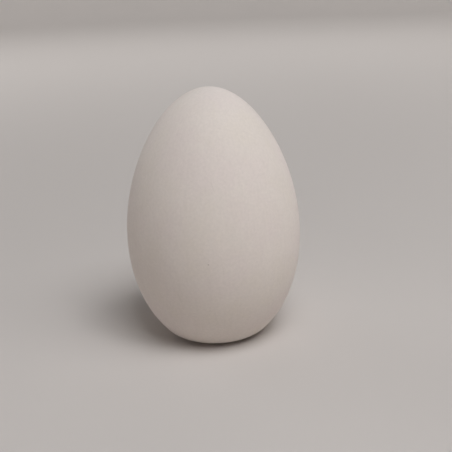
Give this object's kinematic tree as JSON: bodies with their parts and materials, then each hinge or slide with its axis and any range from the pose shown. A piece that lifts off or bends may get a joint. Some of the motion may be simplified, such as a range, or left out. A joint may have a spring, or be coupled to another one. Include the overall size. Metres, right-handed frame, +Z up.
{
  "type": "egg",
  "caption": "Smooth pale bird's egg of goose-egg size, standing point up on the flat seat at its blunt end.",
  "frame": {"origin": "centre of the flat seat at the blunt end, on the surface that the egg stands on", "axes": "+Z up along the egg's long axis, from the blunt end to the pointed end; X and Y lie across it and are alike"},
  "size_m": [0.058, 0.058, 0.0838],
  "materials": {
    "eggshell": "matt, chalky and very smooth, with no gloss"
  },
  "bodies": {
    "root": {"egg": "eggshell"}
  },
  "joints": []
}
